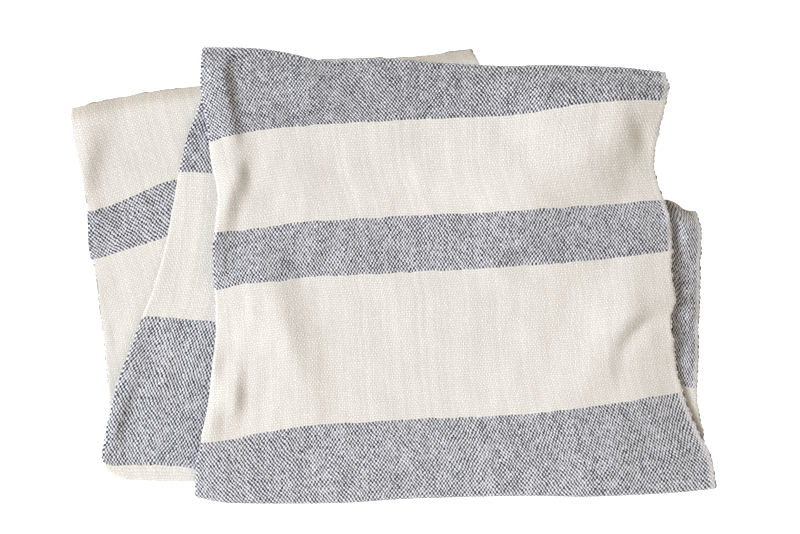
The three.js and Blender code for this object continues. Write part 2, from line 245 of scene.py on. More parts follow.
FIRST_CREASES = (
    crease((-262, 134), (-273, 118), (-280, 100), (-283, 82), (-279, 62), west=20, east=8.5, rise=5.4),
    crease((-286, 150), (-286, 120), (-282, 90), (-278, 60), west=24, east=26, rise=4.6, ends=(0.8, 0.2)),
    crease((-271, 67), (-268, 38), west=8, east=6, rise=2.0),
    crease((-268, -3), (-267, -23), west=7, east=5, rise=1.3),
    crease((-263, -34), (-260, -73), west=8, east=5, rise=1.4),
    crease((-275, 143), (-243, 153), (-207, 158), (-171, 160), west=16, east=7, rise=2.0, ends=(0.6, 1)),
    crease((-221, 141), (-237, 103), (-250, 71), west=24, east=26, rise=1.6),
    crease((-239, 11), (-243, -23), (-246, -59), west=16, east=14, rise=1.2),
)
SECOND_CREASES = (
    crease((-235, -90), (-244, -112), (-250, -130), (-257, -153), (-261, -165), west=14, east=5, rise=4.8),
    crease((-198, -43), (-210, -88), (-216, -142), west=16, east=9, rise=1.8),
    crease((-180, -43), (-190, -113), (-198, -162), west=12, east=10, rise=1.0),
    crease((-176, 78), (-196, 54), west=14, east=14, rise=1.0),
    crease((-165, 20), (-203, -9), west=12, east=14, rise=1.2),
    crease((-203, 27), (-212, -1), (-224, -32), west=8, east=10, rise=1.6),
)
TOP_CREASES = (
    crease(
        (-156, 204), (-154, 184), (-152, 166), (-148, 144), (-145, 127),
        west=20, east=5, rise=6.4, ends=(0.8, 0.7),
    ),
    crease(
        (-141, 114), (-142, 98), (-145, 82), (-151, 67), (-156, 53), (-161, 36),
        west=46, east=9, rise=7.8, ends=(0.2, 0.5),
    ),
    crease((-138, 103), (-140, 80), west=14, east=5, rise=3.0),
    crease((-160, 121), (-161, 107), west=6, east=4, rise=1.4),
    crease((-156, 22), (-154, 0), west=8, east=5, rise=1.8),
    crease(
        (-129, 35), (-120, 6), (-110, -21), (-102, -41), (-95, -61), (-89, -82), (-85, -106),
        west=38, east=20, rise=5.6, ends=(0.3, 0.6),
    ),
    crease((-115, -9), (-105, -34), (-96, -59), (-90, -81), west=9, east=8, rise=1.0, ends=(0.2, 0.5)),
    crease((-162, -66), (-162, -102), west=8, east=5, rise=3.0),
    crease(
        (-143, -88), (-144, -109), (-146, -124), (-149, -135),
        west=14, east=6.5, rise=6.6, ends=(0.3, 0.2),
    ),
    crease((-163, -109), (-165, -127), (-169, -147), west=8, east=8, rise=4.2, ends=(0.3, 0.5)),
    crease((-92, 190), (-76, 181), (-58, 170), west=16, east=10, rise=6.0),
    crease((-86, 124), (-95, 67), west=28, east=24, rise=1.9),
    crease((-3, 143), (4, 99), west=28, east=20, rise=1.8),
    crease((-16, 182), (-14, 153), west=16, east=8, rise=1.0),
    crease(
        (230, 164), (208, 148), (184, 128), (158, 104), (126, 80),
        west=74, east=34, rise=17.0, ends=(1, 0.6),
    ),
    crease((203, 148), (208, 125), (215, 102), west=34, east=6, rise=4.4),
    crease((233, 145), (232, 125), (235, 103), west=6, east=8, rise=2.0),
    crease((195, 89), (184, 63), west=12, east=10, rise=1.2),
    crease(
        (246, -22), (225, -29), (209, -40), (195, -59), (191, -79),
        west=30, east=7, rise=9.6, ends=(0.6, 0.4),
    ),
    crease((244, -46), (227, -55), (213, -68), (207, -88), west=9, east=20, rise=3.2, ends=(0.6, 0.2)),
    crease((135, -43), (117, -65), (98, -89), west=9, east=8, rise=0.9),
    crease((112, 11), (99, -16), west=34, east=20, rise=1.8),
    crease((67, -99), (74, -120), west=10, east=8, rise=0.9),
    crease((-152, -147), (-153, -187), west=9, east=5, rise=1.4),
    crease((-3, -131), (0, -169), west=12, east=7, rise=1.1),
    crease((81, -131), (75, -163), west=12, east=7, rise=1.3),
    crease((46, -135), (49, -154), west=10, east=6, rise=0.8),
    crease((184, -131), (209, -169), west=20, east=18, rise=1.0),
)
TUCKED_CREASES = (
    crease(
        (242, 64), (247, 40), (246, 5), (249, -39), (252, -90), (261, -118),
        west=30, east=15, rise=3.8, ends=(0.6, 0.1),
    ),
    crease((276, 54), (260, 52), (246, 54), west=3.5, east=5, rise=3.8, ends=(1, 1)),
    crease((252, 46), (255, 30), west=5, east=5, rise=-3.0, ends=(0.9, 0.4)),
    crease((266, 44), (263, 20), west=7, east=7, rise=4.2),
    crease((276, -7), (252, -23), west=5, east=6, rise=4.0),
    crease((277, -28), (258, -41), west=10, east=5, rise=4.0),
    crease((269, -63), (265, -90), west=7, east=7, rise=2.0),
)

# The panels in the order of the cloth. insets are how far inside its outline a panel's rows start and end,
# 0 at a hemmed end. facing is 1 where the first sheet, from the right selvage to the left fold, lies on top.
# loft is how high a panel stands off what it lies on, and lower_share is how much of that its lower sheet
# follows. threads, start_length and end_length say how far along the flat cloth its places are. fold_at is
# how far across the flat cloth the left fold is, at the panel's start and end. gather is over 1 where the
# cloth is pushed together towards the right edge. reach is how far past each of its edges, start, right, end
# and left, a panel still holds up what lies on it. seed is that of its small uneven places.
PANELS = {
    "first": dict(
        sides=FIRST_SIDES, start=LOWER_END, end=LOWER_FOLD, insets=(0, FOLD_INSET), facing=1, lies_on=(),
        loft=0.0, lower_share=0.0, rows=34, creases=FIRST_CREASES,
        threads=FIRST_THREADS, start_length=0.0, end_length=333.0, fold_at=(341, 375), gather=1.0,
        reach=(DRAPE, 150.0, DRAPE, DRAPE), seed=5,
    ),
    "second": dict(
        sides=SECOND_SIDES, start=LOWER_FOLD, end=TOP_FOLD, insets=(FOLD_INSET, -FOLD_INSET), facing=-1,
        lies_on=("first",), loft=1.0, lower_share=0.5, rows=50, creases=SECOND_CREASES,
        threads=SECOND_THREADS, start_length=333.0 + FOLD_ARC, end_length=(TOP_TURN, -FOLD_ARC),
        fold_at=(376, 413), gather=1.0, reach=(DRAPE, 110.0, DRAPE, DRAPE), seed=6,
    ),
    "top": dict(
        sides=TOP_SIDES, start=TOP_FOLD, end=BOTTOM_FOLD, insets=(-FOLD_INSET, FOLD_INSET), facing=1,
        lies_on=("first", "second", "tucked"), loft=3.0, lower_share=0.5, rows=70, creases=TOP_CREASES,
        threads=TOP_THREADS, start_length=(TOP_TURN, 0), end_length=(BOTTOM_TURN, 0),
        fold_at=(414, 455), gather=1.0, reach=(DRAPE, DRAPE, DRAPE, DRAPE), seed=3,
    ),
    "tucked": dict(
        sides=TUCKED_SIDES, start=BOTTOM_FOLD, end=UPPER_END, insets=(FOLD_INSET, 0), facing=-1,
        lies_on=("first", "second"), loft=0.5, lower_share=0.5, rows=50, creases=TUCKED_CREASES,
        threads=TUCKED_THREADS, start_length=(BOTTOM_TURN, FOLD_ARC), end_length=FLAT_LENGTH,
        fold_at=(456, 480), gather=1.66, reach=(DRAPE, DRAPE, 120.0, DRAPE), seed=6,
    ),
}

# The cross folds. outward is the way the fold points along Y, wraps is 1 where the first sheet goes round
# outside the second one, and climbs says whether the cloth goes on to a higher panel.
FOLDS = (
    dict(before="first", after="second", outward=-1, wraps=-1, climbs=True),
    dict(before="second", after="top", outward=1, wraps=1, climbs=True),
    dict(before="top", after="tucked", outward=-1, wraps=1, climbs=False),
)


def across_point(line, share):
    """A point of a cross fold's or a hemmed end's outline, at a share of the panel's width."""
    x = lerp(line["x"][0], line["x"][-1], share)
    return np.stack([x, read(line, "x", "y", x)], -1)


def side_point(panel, side, share):
    """A point of a side edge's outline, at a share of the panel's length from its start."""
    end = np.float64(side == "right")
    start, stop = across_point(panel["start"], end), across_point(panel["end"], end)
    y = lerp(start[1], stop[1], share)
    start_error = start[0] - read(panel["sides"], "y", side, start[1])
    stop_error = stop[0] - read(panel["sides"], "y", side, stop[1])
    x = read(panel["sides"], "y", side, y) + lerp(start_error, stop_error, share)
    return np.stack([x, y], -1)


def plan_point(panel, across, along):
    """A point of a panel seen from above, blended from its four edges."""
    across, along = across[..., None], along[..., None]
    left, right = (side_point(panel, side, along[..., 0]) for side in ("left", "right"))
    start, end = (across_point(panel[line], across[..., 0]) for line in ("start", "end"))
    start_corners, end_corners = (
        lerp(across_point(panel[line], np.float64(0)), across_point(panel[line], np.float64(1)), across)
        for line in ("start", "end")
    )
    corners = lerp(start_corners, end_corners, along)
    point = lerp(left, right, across) + lerp(start, end, along) - corners
    point[..., 0] += OUTER * (1 - across[..., 0])
    point[..., 1] += lerp(*panel["insets"], along[..., 0])
    return point


def outline_of(panel):
    """A panel's whole outline seen from above, as points in a ring."""
    share = np.arange(OUTLINE_POINTS) / OUTLINE_POINTS
    return np.concatenate([
        across_point(panel["start"], share),
        side_point(panel, "right", share),
        across_point(panel["end"], 1 - share),
        side_point(panel, "left", 1 - share),
    ])


def to_segment(x, y, start, stop):
    """Distance to a straight stretch, how far along it the nearest place is, and which side the point lies
    on, from -1 for its right to 1 for its left, looking from start to stop."""
    dx, dy = stop[0] - start[0], stop[1] - start[1]
    share = np.clip(((x - start[0]) * dx + (y - start[1]) * dy) / (dx * dx + dy * dy), 0, 1)
    distance = np.hypot(x - start[0] - share * dx, y - start[1] - share * dy)
    beside = (dx * (y - start[1]) - dy * (x - start[0])) / np.hypot(dx, dy)
    return distance, share, np.clip(beside / np.maximum(distance, 0.01), -1, 1)


def cover(panel, x, y):
    """1 over a panel, and down to 0 at its reach outside its outline."""
    inside = np.zeros(x.shape, bool)
    farness = np.full(x.shape, np.inf)
    ring = outline_of(panel)
    reach = np.repeat(panel["reach"], OUTLINE_POINTS)
    for start, stop, length in zip(ring, np.roll(ring, -1, 0), reach):
        if start[1] != stop[1]:
            crossing = start[0] + (stop[0] - start[0]) * (y - start[1]) / (stop[1] - start[1])
            inside ^= ((start[1] > y) != (stop[1] > y)) & (x < crossing)
        farness = np.minimum(farness, to_segment(x, y, start, stop)[0] / length)
    return np.where(inside, 1, 1 - smoothstep(farness, 0, 1))


RIDGE_END = 0.45  # share of a crease's length over which it fades towards either end
RIDGE_CREST = 1.7  # the higher, the broader its crest
RIDGE_FOOT = 2.6  # the higher, the softer its foot


def ridge(fold, x, y):
    """The height of one crease's ridge."""
    line = fold["line"]
    lengths = np.hypot(*np.diff(line, axis=0).T)
    nearest = np.full(x.shape, np.inf)
    width, place = np.ones(x.shape), np.zeros(x.shape)
    for start, stop, length, before in zip(line, line[1:], lengths, np.cumsum(lengths) - lengths):
        distance, share, side = to_segment(x, y, start, stop)
        closer = distance < nearest
        width = np.where(closer, lerp(fold["west"], fold["east"], (1 + side) / 2), width)
        place = np.where(closer, (before + share * length) / lengths.sum(), place)
        nearest = np.minimum(nearest, distance)
    at_start = lerp(fold["ends"][0], 1, smoothstep(place, 0, RIDGE_END))
    at_stop = lerp(fold["ends"][1], 1, smoothstep(1 - place, 0, RIDGE_END))
    profile = np.maximum(0, 1 - (nearest / (2 * width)) ** RIDGE_CREST) ** RIDGE_FOOT
    return fold["rise"] * (at_start * at_stop) * profile


def waves(seed, x, y, shortest, longest, count=36):
    """Seeded unevenness of about 1 in height, made of waves that run in all directions."""
    rng = np.random.default_rng(seed)
    total = np.zeros(np.broadcast(x, y).shape)
    for _ in range(count):
        length = np.exp(rng.uniform(np.log(shortest), np.log(longest)))
        turn, phase = rng.uniform(0, 2 * pi, 2)
        place = x * np.cos(turn) + y * np.sin(turn)
        total += (length / longest) ** 0.6 * np.sin(2 * pi * place / length + phase)
    return total / np.sqrt(count / 3)


def billow(name, x, y):
    """How far a panel's upper sheet stands off what it lies on."""
    panel = PANELS[name]
    to_left = x - read(panel["sides"], "y", "left", y)
    to_right = read(panel["sides"], "y", "right", y) - x
    rise = panel["loft"] * lerp(RIGHT_SHARE, 1, smoothstep(to_right, 0, RIGHT_ROLL))
    rise = rise + sum(ridge(fold, x, y) for fold in panel["creases"])
    rise = rise * lerp(LEFT_SHARE, 1, smoothstep(to_left, 0, LEFT_ROLL))
    rise = rise + UNEVENNESS * waves(panel["seed"], x, y, *UNEVEN_WAVES)
    to_fold = np.full(x.shape, np.inf)
    for line, inset in zip(("start", "end"), panel["insets"]):
        if inset:
            to_fold = np.minimum(to_fold, abs(y - read(panel[line], "x", "y", x)))
    return np.maximum(rise, 0) * smoothstep(to_fold, FOLD_INSET, FOLD_INSET + FOLD_FADE)


def rest_height(panel, x, y):
    """The height of a panel's middle where it lies flat on what is under it."""
    height = np.full(x.shape, OUTER)
    for name in panel["lies_on"]:
        height = height + PITCH * cover(PANELS[name], x, y) + billow(name, x, y)
    if "tucked" in panel["lies_on"]:
        to_right = read(panel["sides"], "y", "right", y) - x
        height = height - SAG * smoothstep(RIGHT_ROLL - to_right, 0, RIGHT_ROLL)
    return height


def end_length(rule, x):
    """How far along the flat cloth a panel's start or end is: a number, or a table and what to add to it."""
    if isinstance(rule, tuple):
        return read(rule[0], "x", "length", x) + rule[1]
    return np.full(x.shape, float(rule))


def flat_length(panel, x, y):
    """How far along the flat cloth each point is, from the threads that cross the panel."""
    start_y, end_y = read(panel["start"], "x", "y", x), read(panel["end"], "x", "y", x)
    places = [start_y + panel["insets"][0]] + [read(line, "x", "y", x) for _, line in panel["threads"]]
    places.append(end_y + panel["insets"][1])
    lengths = [end_length(panel["start_length"], x)]
    lengths += [np.full(x.shape, float(length)) for length, _ in panel["threads"]]
    lengths.append(end_length(panel["end_length"], x))
    way = np.sign(places[-1] - places[0])
    result = lengths[0]
    for k in range(len(places) - 1):
        share = (y - places[k]) * way / np.maximum((places[k + 1] - places[k]) * way, 1.0)
        share = np.clip(share, 0, 1) if k else np.clip(share, None, 1)
        result = result + (lengths[k + 1] - lengths[k]) * share
    return result


def spaced(count, edge_steps, closer=(0, 0)):
    """Shares from 0 to 1, with those of edge_steps among them. closer is how many times more of them there
    are near 0 and near 1."""
    at = np.linspace(0, 1, SPACING_SAMPLES)
    near_start = np.exp(-((at / CLOSER_OVER[0]) ** 2))
    near_end = np.exp(-(((1 - at) / CLOSER_OVER[1]) ** 2))
    density = 1 + closer[0] * near_start + closer[1] * near_end
    before = np.cumsum(density) - density[0]
    shares = np.interp(np.linspace(0, 1, count + 1), before / before[-1], at)
    return np.unique(np.concatenate([shares, *edge_steps]))


ROUNDING = np.array([0.0, 0.35, 0.9, 1.8])  # distances from a selvage or hemmed end that round it off
ACROSS = spaced(COLUMNS, [1 - ROUNDING / STRIP_WIDTH], closer=CLOSER)
BLUNT = 0.35  # share of the cloth's thickness left at the very edge


def taper(distance):
    """Share of the thickness at a distance from a selvage or hemmed end, so that it is rounded."""
    t = np.clip(distance / ROUNDING[-1], 0, 1)
    return BLUNT + (1 - BLUNT) * np.sqrt(1 - (1 - t) ** 2)


def panel_rows(name):
    """Every row of a panel, as arrays with a place for each column."""
    panel = PANELS[name]
    edge_steps = []
    if not panel["insets"][0]:
        edge_steps.append(ROUNDING / FIRST_LONG)
    if not panel["insets"][1]:
        edge_steps.append(1 - ROUNDING / TUCKED_LONG)
    along, across = np.meshgrid(spaced(panel["rows"], edge_steps), ACROSS, indexing="ij")
    point = plan_point(panel, across, along)
    side_wander = waves(SIDE_SEED, point[..., 1], 0 * across, *FRAY_WAVES) * FRAY
    hem_wander = waves(HEM_SEED, point[..., 0], 0 * across, *FRAY_WAVES) * FRAY
    point[..., 0] += side_wander * (across**NEAR_SIDE - FOLD_WANDER * (1 - across) ** NEAR_SIDE)
    from_ends = zip((along, 1 - along), panel["insets"])
    point[..., 1] += hem_wander * sum(np.exp(-NEAR_HEM * away) * (inset == 0) for away, inset in from_ends)
    x, y = point[..., 0], point[..., 1]
    upper = billow(name, x, y)
    lower = upper * panel["lower_share"]
    fold_at = lerp(*panel["fold_at"], along)
    to_hem = np.full(x.shape, np.inf)
    if not panel["insets"][0]:
        to_hem = along * FIRST_LONG
    if not panel["insets"][1]:
        to_hem = np.minimum(to_hem, (1 - along) * TUCKED_LONG)
    share = across ** lerp(1, panel["gather"], smoothstep(along, 0.05, 0.5))
    return dict(
        middle=np.dstack([x, y, rest_height(panel, x, y)]),
        to_first=np.broadcast_to(np.array([0.0, 0.0, panel["facing"]]), point.shape[:2] + (3,)).copy(),
        first_rise=upper if panel["facing"] > 0 else lower,
        second_rise=lower if panel["facing"] > 0 else upper,
        first_width=(1 - share) * (fold_at - EDGE_ARC / 2),
        second_width=lerp(fold_at + EDGE_ARC / 2, FLAT_WIDTH, share),
        length=flat_length(panel, x, y),
        taper=taper(to_hem),
    )


def fold_rows(fold, before, after):
    """The rows that go round a cross fold, from the last row of one panel to the first row of the next."""
    last, first = {k: v[-1] for k, v in before.items()}, {k: v[0] for k, v in after.items()}
    share = (np.arange(1, FOLD_STEPS) / FOLD_STEPS)[:, None]
    angle = pi * (1 - share if fold["climbs"] else share)
    radius = abs(last["middle"][:, 2] - first["middle"][:, 2]) / 2
    radial = np.dstack([0 * angle, fold["outward"] * np.sin(angle), np.cos(angle)])
    radial = np.repeat(radial, len(radius), 1)
    middle = last["middle"][None].copy().repeat(FOLD_STEPS - 1, 0)
    middle[..., 2] = (last["middle"][:, 2] + first["middle"][:, 2]) / 2
    level = np.zeros(middle.shape[:2])
    kept = ("first_width", "second_width", "length")
    between = {key: lerp(last[key][None], first[key][None], share) for key in kept}
    return dict(
        middle=middle + radial * radius[:, None], to_first=radial * fold["wraps"],
        first_rise=level, second_rise=level, taper=level + 1, **between,
    )


def strip():
    """All rows of the doubled strip, from the lower end to the upper one."""
    parts = []
    panels = {name: panel_rows(name) for name in PANELS}
    for k, name in enumerate(PANELS):
        parts.append(panels[name])
        if k < len(FOLDS):
            fold = FOLDS[k]
            parts.append(fold_rows(fold, panels[fold["before"]], panels[fold["after"]]))
    return {key: np.concatenate([part[key] for part in parts]) for key in parts[0]}


def section(rows, side):
    """One face of the cloth at every row: the first sheet from its selvage to the left fold, round the fold
    and back along the second sheet. side is 1 for the face that is outside in the doubled strip and -1 for
    the other."""
    edge = taper((1 - ACROSS) * STRIP_WIDTH)
    distance = SHEET_MIDDLE + side * CLOTH / 2 * edge * rows["taper"]
    first = rows["middle"] + rows["to_first"] * distance[..., None]
    first[..., 2] += rows["first_rise"]
    second = rows["middle"] - rows["to_first"] * distance[..., None]
    second[..., 2] += rows["second_rise"]
    angle = (pi * np.arange(1, EDGE_STEPS) / EDGE_STEPS)[None, :, None]
    at_fold = {key: rows[key][:, :1] for key in rows}
    reach = distance[:, :1, None]
    cap = at_fold["middle"] + at_fold["to_first"] * reach * np.cos(angle)
    cap = cap + np.array([-1.0, 0.0, 0.0]) * reach * np.sin(angle)
    share = (1 - np.cos(angle[..., 0])) / 2
    cap[..., 2] += lerp(at_fold["first_rise"], at_fold["second_rise"], share)
    places = np.concatenate([first[:, ::-1], cap, second], 1)
    turn = angle[..., 0] / pi
    widths = np.concatenate([
        rows["first_width"][:, ::-1],
        lerp(at_fold["first_width"], at_fold["second_width"], turn),
        rows["second_width"],
    ], 1)
    lengths = np.concatenate([rows["length"][:, ::-1], rows["length"][:, :1] + 0 * turn, rows["length"]], 1)
    return places, np.dstack([widths, lengths])


def grid_faces(high, wide, offset, flip):
    """Faces of a grid of points."""
    at = offset + np.arange(high * wide).reshape(high, wide)
    faces = np.stack([at[:-1, :-1], at[:-1, 1:], at[1:, 1:], at[1:, :-1]], -1).reshape(-1, 4)
    return faces[:, ::-1] if flip else faces


def rim_faces(outer, inner, flip):
    """Faces of the narrow edge between the two faces of the cloth."""
    faces = np.stack([outer[:-1], inner[:-1], inner[1:], outer[1:]], -1)
    return faces[:, ::-1] if flip else faces


def add_piece(name, points, faces, flat):
    """A smooth piece, with the place of each of its points on the flat cloth as its UV."""
    mesh = bpy.data.meshes.new(name)
    mesh.from_pydata((points * MM).tolist(), [], faces)
    layer = mesh.uv_layers.new(name="flat_cloth")
    corner = np.array([loop.vertex_index for loop in mesh.loops])
    layer.data.foreach_set("uv", flat[corner].ravel())
    mesh.shade_smooth()
    mesh.update()
    piece = bpy.data.objects.new(name, mesh)
    bpy.context.scene.collection.objects.link(piece)
    return piece


def make_loops(outer, inner, flat):
    """The loops of weft yarn along both selvages, where it turns back into the cloth."""
    rng = np.random.default_rng(LOOP_SEED)
    middle = (outer + inner) / 2
    points, faces, marks = [], [], []
    angle = np.linspace(0, pi, LOOP_STEPS + 1)
    around = 2 * pi * np.arange(LOOP_SIDES) / LOOP_SIDES
    for edge, inside in ((0, 1), (-1, -2)):
        length, line = flat[:, edge, 1], middle[:, edge]
        outward = line - middle[:, inside]
        outward = outward / np.linalg.norm(outward, axis=1)[:, None]
        for place in np.arange(WEFT_PITCH, FLAT_LENGTH - WEFT_PITCH, 2 * WEFT_PITCH):
            at, before, after, out = (
                np.array([np.interp(place + step, length, column[:, k]) for k in range(3)])
                for step, column in ((0, line), (-1, line), (1, line), (0, outward))
            )
            along = (after - before) / np.linalg.norm(after - before)
            through = np.cross(along, out)
            bulge = rng.uniform(*LOOP_BULGE)
            path = at + np.outer(np.cos(angle) * WEFT_PITCH * LOOP_HALF, along)
            path = path + np.outer(np.sin(angle) * bulge - LOOP_ROOT, out)
            side = np.outer(np.cos(angle), along) + np.outer(np.sin(angle), out)
            ring = path[:, None] + YARN * (
                np.cos(around)[None, :, None] * side[:, None] + np.sin(around)[None, :, None] * through
            )
            start = sum(len(part) for part in points)
            points.append(ring.reshape(-1, 3))
            grid = start + np.arange(ring.shape[0] * LOOP_SIDES).reshape(-1, LOOP_SIDES)
            turned = np.roll(grid, -1, 1)
            faces += np.stack([grid[:-1], turned[:-1], turned[1:], grid[1:]], -1).reshape(-1, 4).tolist()
            faces += [grid[0, ::-1].tolist(), grid[-1].tolist()]
            marks += [(rng.uniform(), place * MM)] * len(points[-1])
    return add_piece("selvage_loops", np.concatenate(points), faces, np.array(marks))


def make_towel():
    """The folded sheet and its selvage loops."""
    rows = strip()
    (outer, flat), (inner, _) = section(rows, 1), section(rows, -1)
    high, wide = outer.shape[:2]
    size = high * wide
    at = np.arange(size).reshape(high, wide)
    faces = np.concatenate([
        grid_faces(high, wide, 0, False),
        grid_faces(high, wide, size, True),
        rim_faces(at[0], at[0] + size, False),
        rim_faces(at[-1], at[-1] + size, True),
        rim_faces(at[:, 0], at[:, 0] + size, True),
        rim_faces(at[:, -1], at[:, -1] + size, False),
    ])
    points = np.concatenate([outer.reshape(-1, 3), inner.reshape(-1, 3)])
    places = np.concatenate([flat.reshape(-1, 2), flat.reshape(-1, 2)]) * MM
    towel = add_piece("bath_towel", points, faces.tolist(), places)
    return towel, make_loops(outer, inner, flat)


class Nodes:
    """A material's node tree, with short calls for the nodes that the cloth uses."""

    def __init__(self, name):
        self.material = bpy.data.materials.new(name)
        self.material.use_nodes = True
        self.tree = self.material.node_tree
        self.tree.nodes.clear()

    def add(self, kind, **settings):
        """A new node, with its settings."""
        node = self.tree.nodes.new(kind)
        for key, value in settings.items():
            setattr(node, key, value)
        return node

    def link(self, value, socket):
        """Feeds another node's output into a socket, or sets the socket to a plain value."""
        if hasattr(value, "is_output"):
            self.tree.links.new(value, socket)
        else:
            socket.default_value = value

    def math(self, operation, *values):
        node = self.add("ShaderNodeMath", operation=operation)
        for value, socket in zip(values, node.inputs):
            self.link(value, socket)
        return node.outputs[0]

    def step(self, value, low, high, to_low=0.0, to_high=1.0):
        """A smooth change from to_low to to_high, while the value goes from low to high."""
        node = self.add("ShaderNodeMapRange", interpolation_type="SMOOTHSTEP")
        sockets = ("Value", "From Min", "From Max", "To Min", "To Max")
        for given, key in zip((value, low, high, to_low, to_high), sockets):
            self.link(given, node.inputs[key])
        return node.outputs["Result"]

    def mix(self, share, first, second, blend="MIX"):
        """Two colours mixed by a share, where 0 keeps the first."""
        node = self.add("ShaderNodeMix", data_type="RGBA", blend_type=blend)
        self.link(share, node.inputs[0])
        self.link(first, node.inputs[6])
        self.link(second, node.inputs[7])
        return node.outputs[2]

    def mix_value(self, share, first, second):
        """Between two plain numbers, by a share that the tree works out."""
        return self.math("MULTIPLY_ADD", share, second - first, first)

    def noise(self, vector, scale, detail=2.0, roughness=0.5):
        """Cloudy unevenness around 0.5. A larger scale makes it finer."""
        node = self.add("ShaderNodeTexNoise")
        self.link(vector, node.inputs["Vector"])
        node.inputs["Scale"].default_value = scale
        node.inputs["Detail"].default_value = detail
        node.inputs["Roughness"].default_value = roughness
        return node.outputs["Fac"]

    def shifted(self, vector, x, y):
        node = self.add("ShaderNodeVectorMath", operation="ADD")
        self.link(vector, node.inputs[0])
        node.inputs[1].default_value = (x, y, 0)
        return node.outputs[0]

    def stretched(self, vector, x, y):
        node = self.add("ShaderNodeVectorMath", operation="MULTIPLY")
        self.link(vector, node.inputs[0])
        node.inputs[1].default_value = (x, y, 1)
        return node.outputs[0]

    def random(self, value):
        """From 0 to 1, and always the same for the same value."""
        node = self.add("ShaderNodeTexWhiteNoise", noise_dimensions="1D")
        self.link(value, node.inputs["W"])
        return node.outputs["Value"]


# Colours, linear. The warp is cooler where it crosses the blue-grey weft. The dark brown one is painted shade
# in the holes between threads.
CREAM_WARP = (0.86, 0.828, 0.76, 1)
CREAM_WEFT = (0.76, 0.715, 0.63, 1)
COOL_WARP = (0.80, 0.80, 0.82, 1)
BLUE_GREY = (0.064, 0.064, 0.072, 1)
# the weft's cream made paler and cooler, as painted light on the loops, which lie in shade along the right
# edges
LOOP_CREAM_LIT = (0.82, 0.80, 0.79, 1)
# painted shade in the holes between the threads
PIT_SHADE = (0.12, 0.06, 0.02, 1)
WHITE = (1, 1, 1, 1)
# painted shade along both hemmed ends, where the cloth curls down and lies in shadow
HEM_SHADE = (0.80, 0.76, 0.70, 1)
# Where the blue-grey weft starts and ends along the flat cloth
STRIPES = table("start end", (86, 134), (354, 479), (607, 819), (898, 947.5), (1078, 1206), (1246, 1400))

# Places on the flat cloth, in metres
SELVAGE_BAND = (0.0025, 0.0055)  # from a selvage, where its paler margin ends
HEM_BAND = (0.003, 0.017)  # from a hem's edge, where the painted shade along it ends
STITCH_BAND = (0.0008, 0.0016)  # the same for the blue-grey stitches
FLOAT_BAND = (0.0008, 0.0016)  # the same for the blue-grey floats beside the first panel's left fold
FLOAT_LINE = (0.102, 0.341)  # that fold's place across the cloth: a share of the length, and a width to add
FLOATS_START = (0.06, 0.08)
FLOATS_END = (0.31, 0.33)
WIDE_STRIPE = 0.713  # middle of the wide stripe, where more of the weft shows than elsewhere
WIDE_HALF = (0.1, 0.115)  # from there, where that ends


